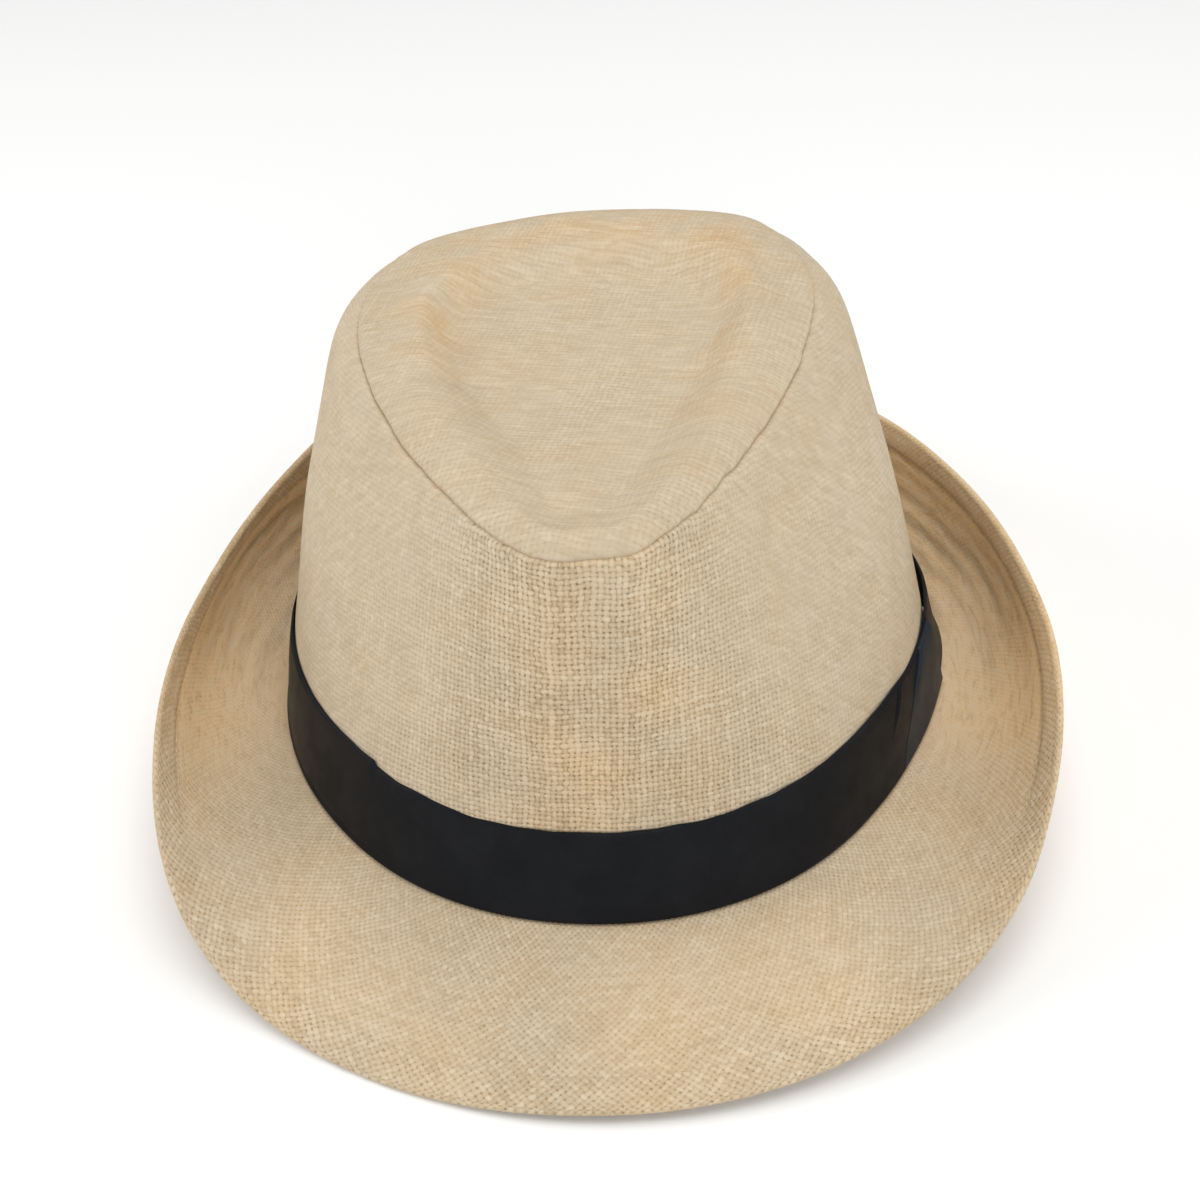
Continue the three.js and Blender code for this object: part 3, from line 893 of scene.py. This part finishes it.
def crown_side_piece():
    shoulder_run = 14
    steps = np.concatenate([np.linspace(0, 3.62, 62), 4 - NEAR_SEAM / shoulder_run])
    wall = side_points(SHARES, steps)
    normal = grid_normals(wall)
    rise = runs_from_start(wall)
    away = rise[-1] - rise
    back_join = (0.5 - np.abs(SHARES)) * FOOT_RUN
    lift = CROWN_UNEVEN * wobble(wall, 46, 3) * step(away, 6, 10) + seam_groove(away)
    lift -= BACK_JOIN * bump(back_join, 0, 0.9)
    outer = wall + normal * lift[..., None] + seam_pucker(away)
    outer[-1] -= unit(wall[-1] - wall[-2]) * GAP / 2
    inner = wall - normal * CROWN_CLOTH
    outer[0, :, 2] = 0
    inner[0, :, 2] = 0
    picked = np.arange(len(steps) - 1, -1, -2)
    rise = np.concatenate([rise, rise[:, :1]], axis=1)
    cuts = closed_cuts(side_cuts(np.broadcast_to(COLUMNS, rise.shape), rise), picked)
    low = 1 - rise[:, :-1] / rise[-1, :-1]
    window = np.exp(-np.abs(SHARES / (FRONT_WINDOW + FRONT_WINDOW_LOWER * low ** 2)) ** 3)
    openness = WEAVE_SIDE + (1 - WEAVE_SIDE) * window + WEAVE_UNEVEN * wobble(wall, 30, 31)
    openness = np.concatenate([openness, openness[picked]])
    browned = FRONT_BROWN * bump(SHARES, 0.005, 0.045) * (0.6 + 0.4 * wobble(wall, 25, 36))
    browned = np.concatenate([browned, browned[picked]])
    return cloth_piece("crown_side_cloth", np.concatenate([outer, inner[picked]]), cuts, CROWN_STRAW,
                       open_weave=openness, browned=browned)


def crown_tip_piece():
    rim_reach = 60
    parts = np.concatenate([NEAR_SEAM[::-1] / rim_reach, np.linspace(0.09, 0.985, 64)])
    face = tip_points(SHARES, parts)
    normal = grid_normals(face)
    away = runs_from_start(face)
    lift = CROWN_UNEVEN * wobble(face, 38, 5) * step(away, 6, 10) + seam_groove(away)
    outer = face + normal * lift[..., None] + seam_pucker(away)
    outer[0] += unit(face[1] - face[0]) * GAP / 2
    inner = face - normal * CROWN_CLOTH
    picked = np.arange(0, len(parts), 2)
    flat = turned(np.concatenate([face, face[:, :1]], axis=1)[..., :2], TIP_GRAIN)
    cuts = closed_cuts({"flat_cut": flat, "yarn_lay": flat}, picked, loop=False)
    openness = WEAVE_TIP + WEAVE_UNEVEN * wobble(face, 30, 32)
    openness = np.concatenate([openness[::-1], openness[picked]])
    worn = bump(away, 22, 9) * step(half(SHARES), 0.22, 0.2)
    browned = worn * (RIDGE_BROWN + 0.4 * wobble(face, 20, 35))
    browned = np.concatenate([browned[::-1], browned[picked]])
    # Painted shade over the whole tip, darker still on the worn ridge
    dulled = TIP_PAINTED_SHADE + 0.7 * browned
    return cloth_piece("crown_tip_cloth", np.concatenate([outer[::-1], inner[picked]]), cuts, CROWN_STRAW,
                       capped=True, open_weave=openness, browned=browned, dulled=dulled)


def pressed_rows(share, out, angle):
    """How deep the soft rows are pressed into the curled sides of the brim, about 0 to 1."""
    foot = head_at(share)
    pressed = np.zeros_like(out)
    for row in range(ROW_COUNT):
        away = BRIM_WIDTH - HEM_WIDTH - ROW_SPACING * (row + 1)
        wave = 1.5 * wobble(foot, 60, 41 + row) + 0.5 * wobble(foot, 17, 51 + row)
        pressed += (0.6 + 0.5 * wobble(foot, 40, 61 + row)) * bump(out, away + wave, 2)
    return pressed * step(out, 5, 5) * step(np.abs(angle), 92, 44)


def brim_top(share, outs):
    """Upper face of the brim, with its soft pressed rows and the step of its hem."""
    points, normals, angle = brim_points(share, outs)
    out = np.broadcast_to(outs[:, None], angle.shape)
    hem = HEM_STEP * step(out, BRIM_WIDTH - HEM_WIDTH + 0.9, 1.4)
    hem -= HEM_VALLEY * bump(out, BRIM_WIDTH - HEM_WIDTH - 0.6, 1.8)
    lift = hem * curl(angle) - ROW_VALLEY * pressed_rows(share, out, angle)
    lift += BRIM_UNEVEN * wobble(points, 60, 9) * step(out, 6, 6)
    thinner = 0.1 + EDGE_THINNER * step(out, BRIM_WIDTH - 2.5, 4) * curl(angle)
    return points + normals * (BRIM_CLOTH / 2 - thinner + lift)[..., None], normals


def brim_shades(rows, across):
    """Shades of the brim: dense and brown where it is curled, the brown there also painted light; painted
    shade in its pressed rows, on its hem and at its flat front.
    """
    foot = head_at(SHARES)
    angle = np.broadcast_to(direction(foot), rows.shape[:2])
    out = np.broadcast_to(across[:, None], rows.shape[:2])
    curled = curl(angle)
    hem = step(out, BRIM_WIDTH - HEM_WIDTH, 2)
    openness = WEAVE_BRIM + (WEAVE_CURLED - WEAVE_BRIM) * curled + WEAVE_HEM * hem
    openness += WEAVE_UNEVEN * wobble(rows, 42, 33)
    # Curled sides: brown that is also painted light, lighter toward the edge where the curl and the crown
    # shade the inner brim
    browned = curled * (CURL_BROWN_AND_PAINTED_LIGHT + 0.6 * step(out, 20, 40)) * (1 - 0.45 * hem)
    browned += BRIM_BROWN + 0.1 * wobble(rows, 50, 34)
    # Painted shade on the curled hem, more on the -X side, in the pressed rows and over the flat front
    lip = LIP_PAINTED_SHADE - LIP_PAINTED_SHADE_SIDE * np.sign(foot[:, 0])
    dulled = lip * step(out, BRIM_WIDTH - 4.5, 5) * curled
    dulled += ROW_PAINTED_SHADE * pressed_rows(SHARES, out, angle) + FRONT_PAINTED_SHADE * (1 - curled)
    return {"open_weave": openness, "browned": browned, "dulled": dulled}


def brim_piece():
    edge_round = 1.1
    last = BRIM_WIDTH - edge_round
    outs = np.concatenate([[-CROWN_CLOTH, 0], np.arange(BRIM_SEAT, last, 0.5), [last]])
    top, _ = brim_top(SHARES, outs)
    under_outs = np.concatenate([[last], np.arange(45, BRIM_SEAT, -1.5), [BRIM_SEAT, 0, -CROWN_CLOTH]])
    under, under_normal, _ = brim_points(SHARES, under_outs)
    under = under - under_normal * BRIM_CLOTH / 2
    middle = (top[-1] + under[0]) / 2
    thick = (top[-1] - under[0]) / 2
    way = unit(top[-1] - top[-2])
    turns = np.radians([70, 48, 24, 0, -24, -48, -70])
    edge = [middle + thick * math.sin(turn) + way * edge_round * math.cos(turn) for turn in turns]
    rows = np.concatenate([top, edge, under])
    # Cloth that would reach below the table lies flat on it
    above = turn_to_rest(rows)[..., 2] + STAND
    rows[..., 2] += np.maximum(0, -above) / math.cos(math.radians(PITCH))
    edge_outs = BRIM_WIDTH - 0.4 + (np.arange(len(turns)) + 1) * 0.35
    under_flat = edge_outs[-1] + 0.4 + (last - under_outs)
    reach = np.concatenate([outs, edge_outs, under_flat])
    half_way, _, _ = brim_points(COLUMNS, [BRIM_WIDTH / 2])
    along = runs_from_start(half_way.transpose(1, 0, 2))[:, 0]
    lay = np.stack(np.broadcast_arrays(along[None, :], reach[:, None]), -1)
    lay = np.concatenate([lay, lay[-1:]])
    cuts = {"flat_cut": turned(lay, BRIM_BIAS), "yarn_lay": lay}
    across = np.concatenate([outs, edge_outs, np.full(len(under_outs), edge_outs[-1])])
    return cloth_piece("brim_cloth", rows, cuts, BRIM_STRAW, **brim_shades(rows, across))


def flare(share, up):
    """How far the ribbon stands away from the crown behind its join."""
    return FLARE_OUT * bump(share, FLARE_AT, FLARE_SPREAD) * (1 - (1 - FLARE_TOP) * up)


def fold_rise(share, up):
    """How fully the fold stands, 0 to 1: sharp at the top of its front edge, fading out lower down."""
    front = smooth_through(FOLD_UP, FOLD_FRONT, up)
    sharp = step(up, 0.6, 0.5)
    t = np.clip((share - front) * FOOT_RUN / (1 + 26 * (1 - sharp)), 0, 1)
    return sharp * np.sqrt(1 - (1 - t) ** 2) + (1 - sharp) * t * t * (3 - 2 * t)


def ribbon_thick(wall, share, up):
    """Ribbon over the crown: rounded edges, hem crease, top fold, pleat and unevenness."""
    height = up * BAND_HEIGHT
    left = 0.3 + 0.7 * step(-share, 0.06, 0.08)
    hem = left * (RIBBON_HEM_RIDGE * bump(height, 0.9, 0.8) - RIBBON_HEM_CREASE * bump(height, 2, 0.35))
    top_fold = -RIBBON_TOP_CREASE * bump(height, BAND_HEIGHT - 1.3, 0.3) * step(share, 0.12, 0.06)
    past = (share - PLEAT_TOP + PLEAT_LEAN * (1 - up)) * FOOT_RUN
    pleat = step(past, 0, 0.7) * np.exp(-np.maximum(past, 0) / 7) - 0.5 * bump(past, -0.5, 0.5)
    edges = step(np.minimum(height, BAND_HEIGHT - height), 0.3, 0.9)
    uneven = RIBBON_UNEVEN * (wobble(wall, 34, 11) + 0.4 * wobble(wall, 13, 12)) * step(height, 4, 6)
    flat = RIBBON * (0.35 + 0.45 * edges) + hem + top_fold
    return flat + PLEAT_RISE * pleat * step(up, 0.72, 0.4) + uneven * edges


def ribbon_sink(thick, share, up):
    """How far the ribbon lies back under its fold."""
    return np.minimum(0.4 * fold_rise(share, up), thick - 0.15)


def hat_band_piece():
    fine = np.arange(0.15, 0.26, 0.0004)
    share = np.concatenate([SHARES[SHARES < 0.149], fine, SHARES[SHARES > 0.261]])
    ups = np.concatenate([[0, 0.008, 0.025, 0.05], np.linspace(0.08, 0.92, 25), [0.95, 0.975, 0.992, 1]])
    wall = side_points(share, ups)
    normal = grid_normals(wall)
    up = np.broadcast_to(ups[:, None], wall.shape[:2])
    share_at = np.broadcast_to(share, up.shape)
    thick = ribbon_thick(wall, share_at, up)
    rear = smooth_through(FOLD_UP, FOLD_REAR, up)
    thick = thick - ribbon_sink(thick, share_at, up) * step((rear - share) * FOOT_RUN, -0.3, 0.5)
    stand = GAP + flare(share, up)
    notch = (NOTCH_AT - share) * FOOT_RUN
    raised = 0.3 * wobble(wall[-1], 28, 13) + 0.2 * wobble(wall[-1], 8, 14)
    raised += BAND_HIGH * bump(share, BAND_HIGH_AT, 0.05) - BAND_LOW * bump(share, BAND_LOW_AT, 0.12)
    raised += NOTCH_RISE * step(notch, 0.4, 0.8) * np.exp(-notch.clip(0) / 20)
    rise = step(up, 0.8, 0.4) * raised + FLARE_LIFT * flare(share, up)
    outer = wall + normal * (stand + thick)[..., None]
    inner = wall + normal * stand[..., None]
    outer[..., 2] += rise
    inner[..., 2] += rise
    picked = np.arange(len(ups) - 1, -1, -3)
    run = np.append(share, share[0] + 1) * FOOT_RUN
    flat = np.stack(np.broadcast_arrays(run[None, :], (ups * BAND_HEIGHT)[:, None]), -1)
    cuts = closed_cuts({"flat_cut": flat}, picked)
    return cloth_piece("hat_band_ribbon", np.concatenate([outer, inner[picked]]), cuts, BAND_RIBBON)


def band_tuck_piece():
    ups = np.linspace(0, 1, 30)
    along = np.concatenate([[0, 0.0015, 0.004, 0.01], np.linspace(0.02, 0.9, 46), np.linspace(0.92, 1, 12)])
    front = smooth_through(FOLD_UP, FOLD_FRONT, ups)[:, None]
    rear = smooth_through(FOLD_UP, FOLD_REAR, ups)[:, None]
    share = front + (rear - front) * along
    wall = np.array([side_points(share[j], ups[j:j + 1])[0] for j in range(len(ups))])
    normal = grid_normals(wall, closed=False)
    up = np.broadcast_to(ups[:, None], share.shape)
    from_rear = np.clip((rear - share) * FOOT_RUN / 0.8, 0, 1)
    rear_round = np.sqrt(1 - (1 - from_rear) ** 2)
    full = 0.55 + 0.4 * step(along, 0.8, 0.5) + 0.35 * step(up, 0.7, 0.6)
    thick = ribbon_thick(wall, share, up)
    sink = ribbon_sink(thick, share, up)
    stand = GAP + flare(share, up)
    inner = wall + normal * (stand + thick - sink + 0.03)[..., None]
    body = 0.04 + sink + full * fold_rise(share, up)
    outer = inner + normal * (body * (0.1 + 0.9 * rear_round))[..., None]
    for face in (outer, inner):
        face[..., 2] += FLARE_LIFT * flare(share, up)
    rows = np.concatenate([outer, inner[:, ::-1]], axis=1)
    run = np.concatenate([share, share[:, ::-1]], axis=1) * FOOT_RUN
    flat = np.stack([run, np.broadcast_to(ups[:, None] * BAND_HEIGHT, run.shape)], -1)
    flat = np.concatenate([flat, flat[:, :1]], axis=1)
    return cloth_piece("band_tuck_ribbon", rows, {"flat_cut": flat}, TUCK_RIBBON, capped=True)


# Stitches along the hem's inner edge, laid by geometry nodes

def stitch_tree():
    """Geometry nodes that lay stitches along a line, and the name of their thread's socket."""
    tree = bpy.data.node_groups.new("stitch_rows", "GeometryNodeTree")
    tree.interface.new_socket("Geometry", in_out="INPUT", socket_type="NodeSocketGeometry")
    sizes = {"Stitch Pitch": STITCH_PITCH, "Stitch Length": STITCH_LENGTH, "Thread Radius": THREAD_RADIUS}
    for label, value in sizes.items():
        made = tree.interface.new_socket(label, in_out="INPUT", socket_type="NodeSocketFloat")
        made.default_value = value * MM
    thread = tree.interface.new_socket("Thread", in_out="INPUT", socket_type="NodeSocketMaterial")
    tree.interface.new_socket("Geometry", in_out="OUTPUT", socket_type="NodeSocketGeometry")
    given = add(tree, "NodeGroupInput").outputs
    result = add(tree, "NodeGroupOutput").inputs
    curve = add(tree, "GeometryNodeMeshToCurve")
    spaced = add(tree, "GeometryNodeResampleCurve", mode="LENGTH")
    bead = add(tree, "GeometryNodeMeshUVSphere")
    bead.inputs["Segments"].default_value = 6
    bead.inputs["Rings"].default_value = 5
    bead.inputs["Radius"].default_value = 1.0
    size = add(tree, "ShaderNodeCombineXYZ")
    shaped = add(tree, "GeometryNodeTransform")
    tangent = add(tree, "GeometryNodeInputTangent")
    up = add(tree, "GeometryNodeInputNamedAttribute", data_type="FLOAT_VECTOR")
    up.inputs["Name"].default_value = "cloth_up"
    along = add(tree, "FunctionNodeAlignRotationToVector", axis="X")
    upright = add(tree, "FunctionNodeAlignRotationToVector", axis="Z", pivot_axis="X")
    laid = add(tree, "GeometryNodeInstanceOnPoints")
    real = add(tree, "GeometryNodeRealizeInstances")
    finish = add(tree, "GeometryNodeSetMaterial")
    links = [
        (curve.inputs[0], given["Geometry"]),
        (spaced.inputs["Curve"], curve.outputs[0]),
        (spaced.inputs["Length"], given["Stitch Pitch"]),
        (size.inputs[0], calc(tree, "MULTIPLY", given["Stitch Length"], 0.5)),
        (size.inputs[1], given["Thread Radius"]),
        (size.inputs[2], given["Thread Radius"]),
        (shaped.inputs["Geometry"], bead.outputs["Mesh"]),
        (shaped.inputs["Scale"], size.outputs[0]),
        (along.inputs["Vector"], tangent.outputs[0]),
        (upright.inputs["Rotation"], along.outputs[0]),
        (upright.inputs["Vector"], up.outputs["Attribute"]),
        (laid.inputs["Points"], spaced.outputs[0]),
        (laid.inputs["Instance"], shaped.outputs[0]),
        (laid.inputs["Rotation"], upright.outputs[0]),
        (real.inputs[0], laid.outputs[0]),
        (finish.inputs["Geometry"], real.outputs[0]),
        (finish.inputs["Material"], given["Thread"]),
        (result[0], finish.outputs[0]),
    ]
    for target, source in links:
        feed(tree, target, source)
    return tree, thread.identifier


def brim_stitches_piece():
    tree, thread = stitch_tree()
    points, normals = brim_top(SHARES, np.array([BRIM_WIDTH - HEM_WIDTH - 0.3]))
    edges = [(i, (i + 1) % AROUND) for i in range(AROUND)]
    mesh = bpy.data.meshes.new("brim_stitch_rows")
    mesh.from_pydata(place(points + normals * 0.05).reshape(-1, 3).tolist(), edges, [])
    cloth_up = mesh.attributes.new("cloth_up", "FLOAT_VECTOR", "POINT")
    cloth_up.data.foreach_set("vector", turn_to_rest(normals).astype(np.float32).ravel())
    guide = new_piece("brim_stitch_rows", mesh)
    modifier = guide.modifiers.new("stitches", "NODES")
    modifier.node_group = tree
    modifier[thread] = THREAD
    guide.update_tag()
    bpy.context.view_layer.update()
    depsgraph = bpy.context.evaluated_depsgraph_get()
    made = bpy.data.meshes.new_from_object(guide.evaluated_get(depsgraph), depsgraph=depsgraph)
    bpy.data.objects.remove(guide)
    made.name = "brim_stitches"
    made.polygons.foreach_set("use_smooth", np.ones(len(made.polygons), bool))
    return new_piece("brim_stitches", made)


# Studio

CAMERA_TARGET = (-1.08, 0, 32.7)
CAMERA_DISTANCE = 500
CAMERA_ELEVATION = 37.48
CAMERA_TURN = 2.80
CAMERA_ROLL = -1.84
CAMERA_LENS = 54.72
SENSOR = 36


def studio_camera():
    e = math.radians(CAMERA_ELEVATION)
    turn = math.radians(CAMERA_TURN)
    roll = math.radians(CAMERA_ROLL)
    back = Vector((math.sin(turn) * math.cos(e), -math.cos(turn) * math.cos(e), math.sin(e)))
    right = (-back).cross(Vector((0, 0, 1))).normalized()
    up = right.cross(-back)
    axes = (right * math.cos(roll) + up * math.sin(roll), up * math.cos(roll) - right * math.sin(roll), back)
    target = Vector(np.array(CAMERA_TARGET) - MIDDLE)
    data = bpy.data.cameras.new("camera")
    data.sensor_width = SENSOR
    data.lens = CAMERA_LENS
    data.clip_start = 0.01
    camera = new_piece("camera", data)
    camera.matrix_world = (Matrix.Translation((target + back * CAMERA_DISTANCE) * MM)
                           @ Matrix(axes).transposed().to_4x4())
    bpy.context.scene.camera = camera


# Round soft lights: place and size in metres, power in watts
LIGHTS = [
    {"name": "top_light", "at": (0.1, -0.15, 1.45), "size": 1.2, "power": 8.4},
    {"name": "front_light", "at": (0.25, -1.3, 0.75), "size": 0.9, "power": 6.2},
    {"name": "left_light", "at": (-1.25, 0, 0.6), "size": 0.9, "power": 6.6},
    {"name": "right_light", "at": (1.25, 0, 0.65), "size": 0.9, "power": 3.4},
    {"name": "back_light", "at": (0.2, 0.65, 1.25), "size": 0.9, "power": 2.8},
]
LIGHT_AIM = (0, 0, 0.05)
WORLD_LIGHT = 0.33


def soft_light(name, at, size, power):
    data = bpy.data.lights.new(name, "AREA")
    data.shape = "DISK"
    data.size = size
    data.energy = power
    lamp = new_piece(name, data)
    lamp.location = at
    lamp.rotation_euler = (Vector(LIGHT_AIM) - Vector(at)).to_track_quat("-Z", "Y").to_euler()


def pale_floor():
    half_side = 4
    corners = [(x * half_side, y * half_side, 0) for x, y in ((-1, -1), (1, -1), (1, 1), (-1, 1))]
    mesh = bpy.data.meshes.new("floor")
    mesh.from_pydata(corners, [], [(0, 1, 2, 3)])
    made, _, shader = new_material("pale_floor")
    shader.inputs["Base Color"].default_value = (0.98, 0.98, 0.975, 1)
    shader.inputs["Roughness"].default_value = 0.9
    shader.inputs["Specular IOR Level"].default_value = 0.1
    mesh.materials.append(made)
    floor = new_piece("floor", mesh)
    floor.location.z = -GAP * MM


def studio():
    studio_camera()
    pale_floor()
    for light in LIGHTS:
        soft_light(**light)
    world = bpy.data.worlds.new("studio_white")
    world.use_nodes = True
    world.node_tree.nodes["Background"].inputs["Color"].default_value = (1, 1, 1, 1)
    world.node_tree.nodes["Background"].inputs["Strength"].default_value = WORLD_LIGHT
    bpy.context.scene.world = world
    bpy.context.scene.view_settings.view_transform = "Standard"


def finish_piece(piece, slot, *nodes):
    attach(piece, "root")
    if nodes:
        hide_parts(*nodes)


studio()
tip = crown_tip_piece()
side = crown_side_piece()
brim = brim_piece()
band = hat_band_piece()
tuck = band_tuck_piece()
stitches = brim_stitches_piece()
finish_piece(tip, "crown_cloth", "crown_tip")
finish_piece(side, "crown_cloth", "crown_side")
finish_piece(brim, "brim_cloth", "brim")
finish_piece(band, "ribbon", "hat_band")
finish_piece(tuck, "ribbon", "band_tuck")
finish_piece(stitches, "brim_cloth")
